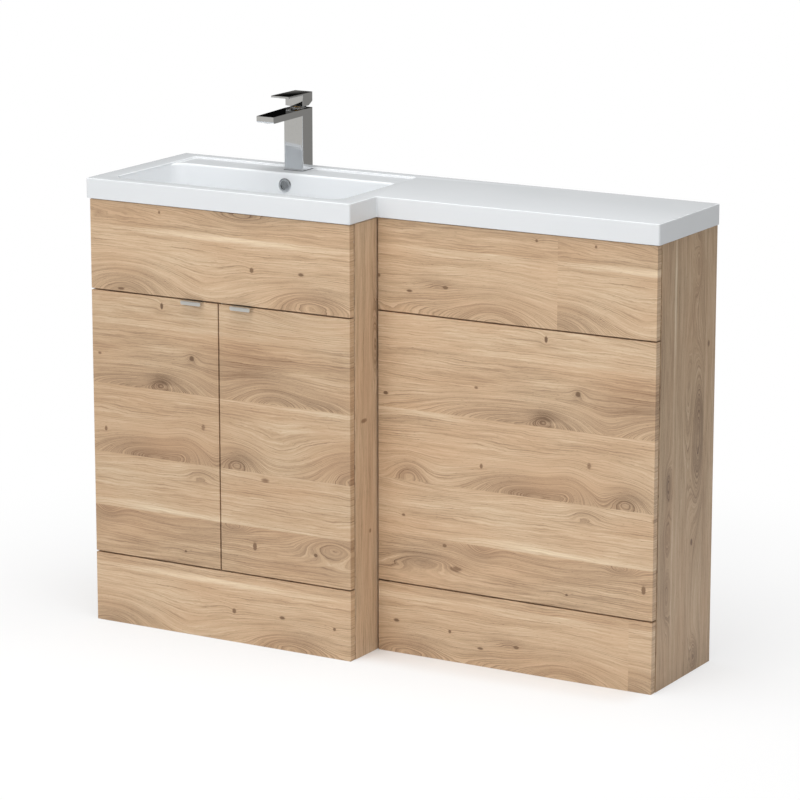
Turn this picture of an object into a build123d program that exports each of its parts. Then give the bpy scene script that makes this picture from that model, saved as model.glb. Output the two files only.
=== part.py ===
from build123d import *
import math
import os

# Combination bathroom furniture, in millimetres.
# A vanity cabinet on the left and a slimmer WC cabinet on the right share one L-shaped basin top.
# Pieces are placed with x from the vanity's left side, y from the front of its doors towards the wall
# and z from the floor, and are then moved so that the origin is the bottom centre of the whole unit.

# Overall sizes
vanity_width = 600.0
vanity_depth = 355.0
wc_width = 600.0
wc_depth = 255.0
unit_joint = 2.0
cabinet_height = 864.0
board = 16.0
shadow_gap = 2.0
edge_round = 0.8

# Front panels
panel_gap = 3.0
panel_inset = 1.0
plinth_height = 141.5
fascia_height = 179.5

# Rails, shelf and fixings of the two cabinets
back_rail_height = 100.0
wc_top_rail_height = 80.0
flat_rail_depth = 90.0
rail_above_door = 4.5
shelf_height = 410.0
shelf_setback = 42.0
shelf_depth = 275.0
shelf_side_clearance = 0.5
shelf_pin_radius = 2.5
shelf_pin_depth = 8.0
shelf_pin_reach = 9.0
shelf_hole_pitch = 32.0
shelf_hole_rows = 5
front_pins_setback = 90.0
back_pins_setback = 60.0
dowel_radius = 4.0
dowel_in_gable = 12.0
dowel_in_rail = 18.0
clip_radius = 4.0
clip_depth = 10.0
clip_disc_radius = 6.0
clip_from_panel_end = 35.0
joining_bolt_radius = 2.5
joining_bolt_head_radius = 6.0
joining_bolt_head = 2.0
joining_bolt_low_height = 300.0
joining_bolt_high_height = 620.0
wall_hole_radius = 3.0
wall_hole_spacing = 400.0
slip_clearance = 0.05

# Doors and handles
handle_width = 46.0
handle_from_split = 57.0
handle_reach = 12.0
handle_lip_height = 8.0
handle_leg_height = 22.0
handle_sheet = 1.4
handle_corner_radius = 3.0
screw_radius = 1.6
screw_length = 10.0
screw_head_radius = 3.2
screw_head_height = 1.5
bumper_radius = 4.0
bumper_clearance = 0.3

# Concealed hinges, measured from the door's outer edge and its back face
hinge_from_door_end = 80.0
cup_radius = 17.4
cup_bore_radius = 17.5
cup_depth = 12.3
cup_bore_depth = 12.5
cup_from_edge = 22.5
cup_wall = 1.6
cup_floor = 0.7
cup_flange = 1.2
cup_flange_radius = 19.5
cup_ear_half_length = 29.0
cup_ear_half_width = 6.5
cup_screw_spacing = 48.0
door_pin_from_edge = 11.0
door_pin_in_door = 3.5
door_pin_radius = 1.2
door_pin_half_length = 10.0
link_bend_from_edge = 16.0
link_bend_in_door = 8.0
link_thickness = 2.6
link_half_height = 4.0
link_door_eye = 2.2
link_arm_eye = 2.9
arm_pin_from_edge = 39.0
arm_pin_behind_door = 6.0
arm_pin_radius = 1.5
arm_cheek = 1.5
arm_side_clearance = 0.4
arm_width = 10.0
arm_front = 30.0
arm_length = 33.0
plate_thickness = 2.0
plate_width = 25.0
plate_half_length = 25.0
plate_from_gable_front = 25.0
plate_screw_offset = 16.0
plate_boss_half_height = 4.0
running_clearance = 0.05

# Basin top
top_thickness = 40.0
bedding = 2.0
bedding_width = 8.0
bedding_inset = 4.0
front_overhang = 4.0
left_overhang = 5.0
inner_overhang = 2.0
right_overhang = 4.0
skirt = 20.0
slab = 12.0
outer_corner_radius = 4.0
rim_round = 2.0
recess_left = 38.0
recess_right_margin = 41.0
recess_front = 28.0
recess_back_margin = 27.0
recess_drop = 2.5
recess_back_radius = 10.0
bowl_corner_radius = 25.0
deck_behind_bowl = 73.0
bowl_depth = 94.0
bowl_wall = 9.0
bowl_floor = 12.0
bowl_floor_left_fall = 14.0
bowl_floor_right_fall = 14.0
bowl_floor_front_fall = 12.0
bowl_floor_back_fall = 8.0
bowl_floor_corner_radius = 32.0
bowl_bottom_round = 24.0
deck_edge_round = 5.0
dish_radius = 62.0
dish_depth = 3.0

# Waste, overflow and its duct
waste_before_bowl_back = 105.0
waste_flange_radius = 31.5
waste_flange = 2.5
waste_recess_depth = 2.0
waste_recess_clearance = 0.5
waste_tail_radius = 20.955
waste_bore_radius = 18.0
waste_tail_length = 85.0
waste_hole_clearance = 0.8
waste_slot_width = 16.0
waste_slot_height = 10.0
waste_spider_width = 4.0
waste_spider_height = 5.0
waste_spider_drop = 30.0
waste_spider_hub = 7.0
plug_radius = 30.0
plug_edge = 3.0
plug_crown = 3.0
plug_seat_gap = 0.3
plug_skirt_radius = 17.5
plug_skirt_length = 6.0
plug_stem_radius = 4.0
plug_stem_length = 45.0
seal_thickness = 3.0
seal_radius = 30.0
backnut_height = 10.0
backnut_radius = 29.0
overflow_below_rim = 27.0
overflow_hole_radius = 11.0
overflow_sleeve_radius = 10.9
overflow_bore_radius = 9.2
overflow_flange_radius = 14.0
overflow_flange = 2.5
overflow_bar = 1.2
overflow_bar_pitch = 3.4
duct_half_width = 24.0
duct_reach = 14.0
duct_wall = 4.0
duct_height = 22.0
duct_collar_radius = 36.0
duct_top_gap = 2.0

# Basin mixer
tap_before_recess_back = 23.0
tap_hole_radius = 17.0
tap_body_width = 44.0
tap_body_depth = 41.0
tap_body_height = 124.0
tap_corner_radius = 3.5
tap_base_thickness = 1.2
tap_base_border = 1.8
spout_reach = 105.0
spout_tip_width = 39.4
spout_thickness = 13.0
spout_root = 8.0
spout_slope = 1.3
spout_nose_radius = 4.0
spout_edge_round = 0.8
aerator_from_tip = 15.0
aerator_seat_radius = 10.0
aerator_seat_depth = 8.0
aerator_radius = 9.9
aerator_bore_radius = 8.0
aerator_proud = 1.0
aerator_bar = 0.8
waterway_radius = 2.5
cartridge_bore_radius = 16.4
cartridge_bore_depth = 40.0
cartridge_radius = 16.2
cartridge_height = 28.0
cartridge_neck_radius = 10.8
neck_radius = 17.0
neck_proud = 2.0
neck_bore_radius = 11.2
neck_thread_radius = 16.3
neck_thread_depth = 10.0
spindle_radius = 10.0
spindle_gap = 0.3
spindle_shank_radius = 6.0
spindle_shank_length = 10.0
lever_gap = 4.8
lever_width = 41.0
lever_length = 91.0
lever_plate = 4.0
lever_block_height = 22.4
lever_block_depth = 37.0
lever_behind_axis = 21.0
lever_wall = 3.5
lever_side_wall = 5.5
lever_chamfer_length = 14.0
lever_chamfer_height = 7.5
lever_round = 0.8
lever_pivot_above_neck = 13.0
lever_pin_radius = 2.0
spindle_above_pivot = 4.0
stud_radius = 4.0
stud_in_body = 12.0
stud_below_deck = 45.0
stud_from_axis = 9.0
fixing_washer = 3.0
fixing_washer_radius = 24.0
fixing_nut_height = 7.0
fixing_nut_radius = 7.5
inlet_radius = 5.0
inlet_depth = 12.0
inlet_spread = 8.5
inlet_behind_axis = 5.0

# Places worked out from the sizes above
carcass_front = board + shadow_gap
wc_left = vanity_width + unit_joint
wc_right = wc_left + wc_width
wc_front = vanity_depth - wc_depth
wc_carcass_front = wc_front + carcass_front
door_bottom = plinth_height + panel_gap
fascia_bottom = cabinet_height - fascia_height
door_top = fascia_bottom - panel_gap
split_centre = vanity_width / 2
recess_right = vanity_width - recess_right_margin
recess_back = vanity_depth - recess_back_margin
bowl_back = recess_back - deck_behind_bowl
waste_from_front = bowl_back - waste_before_bowl_back
tap_from_front = recess_back - tap_before_recess_back
centre_line = (recess_left + recess_right) / 2
door_inner_edge = split_centre - panel_gap / 2
bottom_top = door_bottom + board - panel_gap / 2
top_underside = cabinet_height + bedding
rim = top_underside + top_thickness
deck = rim - recess_drop
slab_underside = rim - slab
bowl_floor_level = deck - bowl_depth + dish_depth
bowl_underside = bowl_floor_level - bowl_floor
dish_level = bowl_floor_level - dish_depth
unit_left = -left_overhang
unit_right = wc_right + right_overhang
unit_front = -max(handle_reach, front_overhang)
to_origin = Pos(-(unit_left + unit_right) / 2, -(unit_front + vanity_depth) / 2, 0)


def block(x0, x1, y0, y1, z0, z1):
    corner = (Align.MIN, Align.MIN, Align.MIN)
    return Pos(x0, y0, z0) * Box(x1 - x0, y1 - y0, z1 - z0, align=corner)


def rod_x(x0, x1, y, z, radius):
    ends = (Align.CENTER, Align.CENTER, Align.MIN)
    return Pos(x0, y, z) * Rotation(0, 90, 0) * Cylinder(radius, x1 - x0, align=ends)


def rod_y(x, y0, y1, z, radius):
    ends = (Align.CENTER, Align.CENTER, Align.MIN)
    return Pos(x, y0, z) * Rotation(-90, 0, 0) * Cylinder(radius, y1 - y0, align=ends)


def rod_z(x, y, z0, z1, radius):
    ends = (Align.CENTER, Align.CENTER, Align.MIN)
    return Pos(x, y, z0) * Cylinder(radius, z1 - z0, align=ends)


def eased(solid):
    return fillet(solid.edges(), edge_round)


def prism_x(points, x0, x1):
    outline = make_face(Polyline([Vector(x0, y, z) for y, z in points], close=True))
    return extrude(outline, amount=x1 - x0, dir=(1, 0, 0))


def prism_z(points, z0, z1):
    outline = make_face(Polyline([Vector(x, y, z0) for x, y in points], close=True))
    return extrude(outline, amount=z1 - z0, dir=(0, 0, 1))


def mirrored(solid, left, right):
    return mirror(solid, about=Plane.YZ.offset((left + right) / 2))


# Where the dowels, clips and holes of one cabinet go
def dowel_places(front):
    lower = bottom_top - board / 2
    middle = fascia_bottom + rail_above_door - panel_gap + board / 2
    wall_side = vanity_depth - board / 2
    quarter = back_rail_height / 4
    return {
        "bottom": [(front + flat_rail_depth / 2, lower), (vanity_depth - flat_rail_depth / 2, lower)],
        "lower": [(front + flat_rail_depth / 2, lower)],
        "middle": [(front + flat_rail_depth / 2, middle)],
        "back_low": [(wall_side, bottom_top + quarter), (wall_side, bottom_top + 3 * quarter)],
        "back_top": [(wall_side, cabinet_height - quarter), (wall_side, cabinet_height - 3 * quarter)],
        "front_top": [(front + board / 2, cabinet_height - 3 * wc_top_rail_height / 4)],
    }


def dowel_rods(places, left, right, clearance):
    rods = []
    for y, z in places:
        for face, away in ((left + board, 1), (right - board, -1)):
            outer = face - away * (dowel_in_gable + clearance)
            inner = face + away * (dowel_in_rail + clearance)
            rods.append(rod_x(min(outer, inner), max(outer, inner), y, z, dowel_radius + clearance))
    return rods


def clip_heights(bottom, top):
    return (bottom + clip_from_panel_end, top - clip_from_panel_end)


def clip_rods(left, right, front, bottom, top, clearance):
    rods = []
    for x in (left + board / 2, right - board / 2):
        for z in clip_heights(bottom, top):
            start = front + board - clip_depth - clearance
            end = front + carcass_front + clip_depth + clearance
            rods.append(rod_y(x, start, end, z, clip_radius + clearance))
    return rods


def panel_clips(left, right, front, bottom, top):
    clips = []
    for stem in clip_rods(left, right, front, bottom, top, 0):
        x = stem.center().X
        z = stem.center().Z
        disc = rod_y(x, front + board, front + carcass_front, z, clip_disc_radius)
        clips.append(stem + disc)
    return clips


def fixed_panel(left, right, front, bottom, top):
    panel = eased(block(left + panel_inset, right - panel_inset, front, front + board, bottom, top))
    return panel - clip_rods(left, right, front, bottom, top, slip_clearance)


# Vanity cabinet: two gables joined by a bottom, a front rail and two back rails
def hinge_heights():
    return (door_bottom + hinge_from_door_end, door_top - hinge_from_door_end)


def shelf_hole_heights():
    lowest = shelf_height - shelf_pin_radius - slip_clearance
    first = -(shelf_hole_rows // 2)
    return [lowest + (first + row) * shelf_hole_pitch for row in range(shelf_hole_rows)]


def shelf_pin_rows():
    return (carcass_front + front_pins_setback, vanity_depth - back_pins_setback)


def joining_bolt_places():
    heights = (joining_bolt_low_height, joining_bolt_high_height)
    return [(y, z) for y in (wc_carcass_front + board, vanity_depth - 2 * board) for z in heights]


def plate_screw_places():
    y = carcass_front + plate_from_gable_front + plate_width / 2
    return [(y, z + side * plate_screw_offset) for z in hinge_heights() for side in (-1, 1)]


def vanity_gable():
    gable = eased(block(0, board, carcass_front, vanity_depth, 0, cabinet_height))
    places = dowel_places(carcass_front)
    used = places["bottom"] + places["middle"] + places["back_low"] + places["back_top"]
    holes = dowel_rods(used, 0, vanity_width, slip_clearance)
    for bottom, top in ((0, plinth_height), (fascia_bottom, cabinet_height)):
        holes += clip_rods(0, vanity_width, 0, bottom, top, slip_clearance)
    for y in shelf_pin_rows():
        for z in shelf_hole_heights():
            holes.append(rod_x(board - shelf_pin_depth, board, y, z, shelf_pin_radius + slip_clearance))
    for y, z in plate_screw_places():
        holes.append(rod_x(board - screw_length - slip_clearance, board, y, z, screw_radius + slip_clearance))
    return gable - holes


def joining_bolt_holes():
    near = vanity_width - board
    far = wc_left + board
    radius = joining_bolt_radius + slip_clearance
    return [rod_x(near, far, y, z, radius) for y, z in joining_bolt_places()]


def joining_bolts():
    near = vanity_width - board
    far = wc_left + board
    bolts = []
    for y, z in joining_bolt_places():
        shank = rod_x(near, far, y, z, joining_bolt_radius)
        head = rod_x(near - joining_bolt_head, near, y, z, joining_bolt_head_radius)
        cap = rod_x(far, far + joining_bolt_head, y, z, joining_bolt_head_radius)
        bolts.append(shank + head + cap)
    return bolts


def rail(left, right, y0, y1, z0, z1, places):
    board_piece = eased(block(left + board, right - board, y0, y1, z0, z1))
    return board_piece - dowel_rods(places, left, right, slip_clearance)


def wall_holes(left, right):
    centre = (left + right) / 2
    z = cabinet_height - back_rail_height / 2
    start = vanity_depth - board
    return [rod_y(centre + side * wall_hole_spacing / 2, start, vanity_depth, z, wall_hole_radius)
            for side in (-1, 1)]


def back_rails(left, right, front):
    places = dowel_places(front)
    y0 = vanity_depth - board
    upper = rail(left, right, y0, vanity_depth, cabinet_height - back_rail_height, cabinet_height,
                 places["back_top"]) - wall_holes(left, right)
    lower = rail(left, right, y0, vanity_depth, bottom_top, bottom_top + back_rail_height,
                 places["back_low"])
    return upper, lower


def middle_rail(left, right, front):
    bottom = fascia_bottom + rail_above_door - panel_gap
    return rail(left, right, front, front + flat_rail_depth, bottom, bottom + board,
                dowel_places(front)["middle"])


def carcass_dowels():
    places = dowel_places(carcass_front)
    used = places["bottom"] + places["middle"] + places["back_low"] + places["back_top"]
    rods = dowel_rods(used, 0, vanity_width, 0)
    places = dowel_places(wc_carcass_front)
    used = places["lower"] + places["middle"] + places["front_top"] + places["back_low"] + places["back_top"]
    return rods + dowel_rods(used, wc_left, wc_right, 0)


def shelf():
    left = board + shelf_side_clearance
    right = vanity_width - board - shelf_side_clearance
    front = carcass_front + shelf_setback
    return eased(block(left, right, front, front + shelf_depth, shelf_height, shelf_height + board))


def shelf_pins():
    z = shelf_height - shelf_pin_radius - slip_clearance
    start = board - shelf_pin_depth + slip_clearance
    left = [rod_x(start, board + shelf_pin_reach, y, z, shelf_pin_radius) for y in shelf_pin_rows()]
    return left + [mirrored(pin, 0, vanity_width) for pin in left]


# Concealed hinge, drawn on the left door; the right door's is its mirror image
def door_edge():
    return panel_inset


def arm_pin_centre():
    return door_edge() + arm_pin_from_edge, board + arm_pin_behind_door


def door_pin_centre():
    return door_edge() + door_pin_from_edge, board - door_pin_in_door


def cup_screw_places(z):
    return [(door_edge() + cup_from_edge, z + side * cup_screw_spacing / 2) for side in (-1, 1)]


def hinge_cup(z):
    x = door_edge() + cup_from_edge
    shell = rod_y(x, board - cup_depth, board, z, cup_radius)
    flange = rod_y(x, board, board + cup_flange, z, cup_flange_radius)
    ears = block(x - cup_ear_half_width, x + cup_ear_half_width, board, board + cup_flange,
                 z - cup_ear_half_length, z + cup_ear_half_length)
    ears = fillet(ears.edges().filter_by(Axis.Y), cup_ear_half_width - 0.5)
    hollow = rod_y(x, board - cup_depth + cup_floor, board + cup_flange, z, cup_radius - cup_wall)
    cup = shell + flange + ears - hollow
    cup -= [rod_y(sx, board, board + cup_flange, sz, screw_radius + slip_clearance)
            for sx, sz in cup_screw_places(z)]
    px, py = door_pin_centre()
    reach = door_pin_half_length + cup_wall
    pin = rod_z(px, py, z - reach, z + reach, door_pin_radius)
    return cup + (pin & rod_y(x, board - cup_depth, board, z, cup_radius))


def cup_screws(z):
    back = board + cup_flange
    screws = []
    for x, sz in cup_screw_places(z):
        shank = rod_y(x, back - screw_length, back, sz, screw_radius)
        head = rod_y(x, back, back + screw_head_height / 2, sz, screw_head_radius)
        screws.append(shank + head)
    return screws


def bar(start, end, thickness, z0, z1):
    along = Vector(end[0] - start[0], end[1] - start[1], 0)
    side = Vector(-along.Y, along.X, 0).normalized() * (thickness / 2)
    first = Vector(*start, 0)
    last = Vector(*end, 0)
    corners = [first + side, first - side, last - side, last + side]
    return prism_z([(c.X, c.Y) for c in corners], z0, z1)


def hinge_link(z):
    z0 = z - link_half_height
    z1 = z + link_half_height
    door_pin = door_pin_centre()
    arm_pin = arm_pin_centre()
    bend = (door_edge() + link_bend_from_edge, board - link_bend_in_door)
    link = bar(door_pin, bend, link_thickness, z0, z1) + bar(bend, arm_pin, link_thickness, z0, z1)
    link += rod_z(*bend, z0, z1, link_thickness / 2)
    link += rod_z(*door_pin, z0, z1, link_door_eye)
    link += rod_z(*arm_pin, z0, z1, link_arm_eye)
    link -= rod_z(*door_pin, z0, z1, door_pin_radius + running_clearance)
    return link - rod_z(*arm_pin, z0, z1, arm_pin_radius + running_clearance)


def arm_half_height():
    return link_half_height + arm_side_clearance + arm_cheek


def arm_block_x():
    boss_top = board + plate_thickness + plate_boss_height()
    return boss_top + arm_cheek - arm_width, boss_top + arm_cheek


def plate_boss_height():
    return arm_width - arm_cheek


def hinge_arm(z):
    px, py = arm_pin_centre()
    x0, x1 = arm_block_x()
    y0 = carcass_front + arm_front
    y1 = y0 + arm_length
    outline = [(px - link_arm_eye, py), (px + link_arm_eye, py), (x1, y0), (x1, y1), (x0, y1), (x0, y0)]
    half = arm_half_height()
    inner = half - arm_cheek
    arm = prism_z(outline, z - half, z + half) + rod_z(px, py, z - half, z + half, link_arm_eye)
    arm -= block(x0 - 1, x1 - arm_cheek, py - 2 * link_arm_eye, y1, z - inner, z + inner)
    arm -= block(x0, px + 2 * link_arm_eye, py - 2 * link_arm_eye, y0, z - inner, z + inner)
    return arm - rod_z(px, py, z - half, z + half, arm_pin_radius + slip_clearance)


def hinge_pin(z):
    half = arm_half_height()
    return rod_z(*arm_pin_centre(), z - half, z + half, arm_pin_radius)


def hinge_plate(z):
    y0 = carcass_front + plate_from_gable_front
    wings = block(board, board + plate_thickness, y0, y0 + plate_width, z - plate_half_length,
                  z + plate_half_length)
    wings = fillet(wings.edges().filter_by(Axis.X), plate_width / 5)
    boss_front = carcass_front + arm_front + arm_cheek
    boss_back = carcass_front + arm_front + arm_length - arm_cheek
    boss = block(board, board + plate_thickness + plate_boss_height(), boss_front, boss_back,
                 z - plate_boss_half_height, z + plate_boss_half_height)
    plate = wings + boss
    y = y0 + plate_width / 2
    return plate - [rod_x(board, board + plate_thickness, y, z + side * plate_screw_offset,
                          screw_radius + slip_clearance) for side in (-1, 1)]


def plate_screws():
    face = board + plate_thickness
    screws = []
    for y, z in plate_screw_places():
        shank = rod_x(face - screw_length, face, y, z, screw_radius)
        head = rod_x(face, face + screw_head_height, y, z, screw_head_radius)
        screws.append(shank + head)
    return screws


# Doors, with cup bores and pilot holes in their backs, and sheet edge pulls over their top edges
def handle_centre():
    return split_centre - handle_from_split


def handle_screw_places():
    z = door_top - handle_leg_height * 0.6
    return [(handle_centre() + side * handle_width / 4, z) for side in (-1, 1)]


def door():
    panel = eased(block(door_edge(), door_inner_edge, 0, board, door_bottom, door_top))
    holes = []
    for z in hinge_heights():
        x = door_edge() + cup_from_edge
        holes.append(rod_y(x, board - cup_bore_depth, board, z, cup_bore_radius))
        for sx, sz in cup_screw_places(z):
            holes.append(rod_y(sx, board - screw_length, board, sz, screw_radius + slip_clearance))
    for x, z in handle_screw_places():
        holes.append(rod_y(x, board - screw_length, board, z, screw_radius + slip_clearance))
    return panel - holes


def handle():
    half = handle_width / 2
    x0 = handle_centre() - half
    x1 = handle_centre() + half
    leg = block(x0, x1, board, board + handle_sheet, door_top - handle_leg_height, door_top)
    roof = block(x0, x1, -handle_reach, board + handle_sheet, door_top, door_top + handle_sheet)
    lip = block(x0, x1, -handle_reach, -handle_reach + handle_sheet,
                door_top + handle_sheet - handle_lip_height, door_top + handle_sheet)
    lower_corners = lip.edges().filter_by(Axis.Y).sort_by(Axis.Z)[:2]
    lip = fillet(lower_corners, handle_corner_radius)
    pull = leg + roof + lip
    front_top = pull.edges().filter_by(Axis.X).sort_by(lambda e: e.center().Y - e.center().Z)[:1]
    pull = fillet(front_top, handle_sheet * 0.9)
    return pull - [rod_y(x, board, board + handle_sheet, z, screw_radius + slip_clearance)
                   for x, z in handle_screw_places()]


def handle_screws():
    back = board + handle_sheet
    screws = []
    for x, z in handle_screw_places():
        shank = rod_y(x, back - screw_length, back, z, screw_radius)
        head = rod_y(x, back, back + screw_head_height, z, screw_head_radius)
        screws.append(shank + head)
    return screws


def door_bumpers():
    thickness = shadow_gap - bumper_clearance
    inset = 2.5 * bumper_radius
    return [rod_y(board / 2 + panel_inset, board, board + thickness, z, bumper_radius)
            for z in (door_bottom + inset, door_top - inset)]


# WC cabinet: two gables, three front rails and two back rails behind fixed panels
def wc_panel_spans():
    return ((0, plinth_height), (door_bottom, door_top), (fascia_bottom, cabinet_height))


def wc_gable():
    gable = eased(block(wc_left, wc_left + board, wc_carcass_front, vanity_depth, 0, cabinet_height))
    places = dowel_places(wc_carcass_front)
    used = places["lower"] + places["middle"] + places["front_top"] + places["back_low"] + places["back_top"]
    holes = dowel_rods(used, wc_left, wc_right, slip_clearance)
    for bottom, top in wc_panel_spans():
        holes += clip_rods(wc_left, wc_right, wc_front, bottom, top, slip_clearance)
    return gable - holes


def wc_clips():
    clips = []
    for bottom, top in wc_panel_spans():
        clips += panel_clips(wc_left, wc_right, wc_front, bottom, top)
    return clips


# Basin top: an L-shaped shell with a skirt, a rib over the inner gables, a tap deck and a bowl
def top_outline(z0, z1):
    inner_side = vanity_width + inner_overhang
    wc_edge = wc_front - front_overhang
    points = [(unit_left, -front_overhang), (inner_side, -front_overhang), (inner_side, wc_edge),
              (unit_right, wc_edge), (unit_right, vanity_depth), (unit_left, vanity_depth)]
    return prism_z(points, z0, z1)


def rounded_outline(x0, x1, y0, y1, z, front_radius, back_radius):
    outline = Pos((x0 + x1) / 2, (y0 + y1) / 2, z) * Rectangle(x1 - x0, y1 - y0)
    outline = fillet(outline.vertices().sort_by(Axis.Y)[:2], front_radius)
    return fillet(outline.vertices().sort_by(Axis.Y)[-2:], back_radius)


def bowl_form(grow, floor_level, bottom_round):
    upper = rounded_outline(recess_left - grow, recess_right + grow, recess_front - grow, bowl_back + grow,
                            deck, bowl_corner_radius + grow, bowl_corner_radius + grow)
    corner = bowl_floor_corner_radius + grow
    lower = rounded_outline(recess_left + bowl_floor_left_fall - grow,
                            recess_right - bowl_floor_right_fall + grow,
                            recess_front + bowl_floor_front_fall - grow,
                            bowl_back - bowl_floor_back_fall + grow, floor_level, corner, corner)
    form = loft([upper, lower])
    return fillet(form.faces().sort_by(Axis.Z)[0].edges(), bottom_round)


def bowl_shell_form():
    return bowl_form(bowl_wall, bowl_underside, bowl_bottom_round + bowl_wall)


def back_wall_tilt():
    return math.atan2(bowl_floor_back_fall, bowl_depth - dish_depth)


def overflow_centre():
    z = rim - overflow_below_rim
    y = bowl_back - (deck - z) * math.tan(back_wall_tilt())
    return Vector(centre_line, y, z)


def overflow_place():
    tilt = math.degrees(back_wall_tilt())
    return Location(overflow_centre(), (-90 - tilt, 0, 0))


def recess_form(z0, z1):
    outline = rounded_outline(recess_left, recess_right, recess_front, recess_back, z0, bowl_corner_radius,
                              recess_back_radius)
    return extrude(outline, amount=z1 - z0, dir=(0, 0, 1))


def bowl_hollow():
    margin = 2 * deck_edge_round
    above = block(recess_left - margin, recess_right + margin, recess_front - margin, bowl_back + margin,
                  deck, rim)
    hollow = bowl_form(0, bowl_floor_level, bowl_bottom_round) + above
    mouth = hollow.faces().filter_by(lambda face: abs(face.center().Z - deck) < 0.01)[0].inner_wires()[0]
    hollow = fillet(mouth.edges(), deck_edge_round)
    return hollow & recess_form(bowl_floor_level, deck)


def basin_top():
    shell = top_outline(top_underside, rim)
    shell = fillet(shell.edges().filter_by(Axis.Z), outer_corner_radius)
    shell -= recess_form(deck, rim + recess_drop)
    shell = fillet(shell.faces().filter_by(Plane.XY).sort_by(Axis.Z)[-1].edges(), rim_round)
    rib_left = vanity_width + inner_overhang - skirt
    rib_right = wc_left + board
    left_hollow = block(unit_left + skirt, rib_left, skirt - front_overhang, vanity_depth - skirt,
                        top_underside, slab_underside)
    right_hollow = block(rib_right, unit_right - skirt, wc_front - front_overhang + skirt,
                         vanity_depth - skirt, top_underside, slab_underside)
    tap_hole = rod_z(centre_line, tap_from_front, slab_underside, deck, tap_hole_radius)
    return shell - [left_hollow, right_hollow, bowl_shell_form(), tap_hole]


# The bowl under the top, cast with it and meeting it all round
def basin_bowl():
    bowl = bowl_shell_form() - bowl_hollow()
    bowl -= Pos(centre_line, waste_from_front, dish_level + dish_depth / 2) * Cone(
        waste_flange_radius + waste_recess_clearance, dish_radius, dish_depth)
    flange_recess = rod_z(centre_line, waste_from_front, dish_level - waste_recess_depth, dish_level,
                          waste_flange_radius + waste_recess_clearance)
    waste_hole = rod_z(centre_line, waste_from_front, bowl_underside, dish_level,
                       waste_tail_radius + waste_hole_clearance)
    overflow_hole = overflow_place() * Cylinder(overflow_hole_radius, 4 * bowl_wall)
    return bowl - [flange_recess, waste_hole, overflow_hole]


def bedding_ring(left, right, front):
    outer = block(left + bedding_inset, right - bedding_inset, front + bedding_inset,
                  vanity_depth - bedding_inset, cabinet_height, top_underside)
    step = bedding_inset + bedding_width
    inner = block(left + step, right - step, front + step, vanity_depth - step, cabinet_height, top_underside)
    return outer - inner


def overflow_ring():
    flange = Cylinder(overflow_flange_radius, overflow_flange, align=(Align.CENTER, Align.CENTER, Align.MAX))
    flange = fillet(flange.faces().sort_by(Axis.Z)[0].edges(), overflow_flange * 0.6)
    sleeve = Cylinder(overflow_sleeve_radius, bowl_wall, align=(Align.CENTER, Align.CENTER, Align.MIN))
    ring = flange + sleeve
    depth = 2 * (overflow_flange + bowl_wall)
    ring -= Cylinder(overflow_bore_radius, 2 * depth)
    count = int(overflow_bore_radius / overflow_bar_pitch)
    grille = []
    for step in range(-count, count + 1):
        shift = step * overflow_bar_pitch
        for turn in (45, -45):
            strip = Rotation(0, 0, turn) * Pos(shift, 0, 0) * Box(overflow_bar, 3 * overflow_bore_radius,
                                                                  overflow_bar)
            grille.append(strip)
    mesh = grille[0] + grille[1:]
    mesh &= Cylinder(overflow_bore_radius + 0.5, 2 * overflow_bar)
    return overflow_place() * (ring + mesh)


def overflow_duct():
    foot = bowl_underside - duct_height
    back = bowl_back + bowl_wall + duct_reach
    top = slab_underside - duct_top_gap
    front = waste_from_front
    outer_points = [(front, foot), (back, foot), (back, top), (bowl_back - bowl_wall, top),
                    (front, bowl_floor_level)]
    inner_points = [(front, foot + duct_wall), (back - duct_wall, foot + duct_wall),
                    (back - duct_wall, top - duct_wall), (bowl_back - bowl_wall, top - duct_wall),
                    (front, bowl_floor_level)]
    outer = prism_x(outer_points, centre_line - duct_half_width, centre_line + duct_half_width)
    outer += rod_z(centre_line, front, foot, bowl_underside, duct_collar_radius)
    inner = prism_x(inner_points, centre_line - duct_half_width + duct_wall,
                    centre_line + duct_half_width - duct_wall)
    inner += rod_z(centre_line, front, foot + duct_wall, bowl_underside, duct_collar_radius - duct_wall)
    duct = outer - inner - bowl_shell_form()
    return duct - rod_z(centre_line, front, foot, foot + duct_wall, waste_tail_radius + waste_hole_clearance)


# Waste: flanged body with overflow slots, a click plug on a stem, and the seal and nut underneath
def waste_body():
    x = centre_line
    y = waste_from_front
    seat = dish_level - waste_recess_depth
    body = rod_z(x, y, seat, seat + waste_flange, waste_flange_radius)
    body = fillet(body.faces().sort_by(Axis.Z)[-1].edges(), waste_flange * 0.4)
    body += rod_z(x, y, seat - waste_tail_length, seat, waste_tail_radius)
    body -= rod_z(x, y, seat - waste_tail_length, seat + waste_flange, waste_bore_radius)
    slot_top = bowl_underside - duct_wall
    body -= block(x - waste_slot_width / 2, x + waste_slot_width / 2, y - 2 * waste_bore_radius,
                  y + 2 * waste_bore_radius, slot_top - waste_slot_height, slot_top)
    spider_top = seat + waste_flange - waste_spider_drop
    spider_bottom = spider_top - waste_spider_height
    half = waste_spider_width / 2
    spokes = block(x - waste_bore_radius - 1, x + waste_bore_radius + 1, y - half, y + half,
                   spider_bottom, spider_top)
    hub = rod_z(x, y, spider_bottom, spider_top, waste_spider_hub)
    spider = spokes + hub - rod_z(x, y, spider_bottom, spider_top, plug_stem_radius + running_clearance)
    return body + spider


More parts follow.
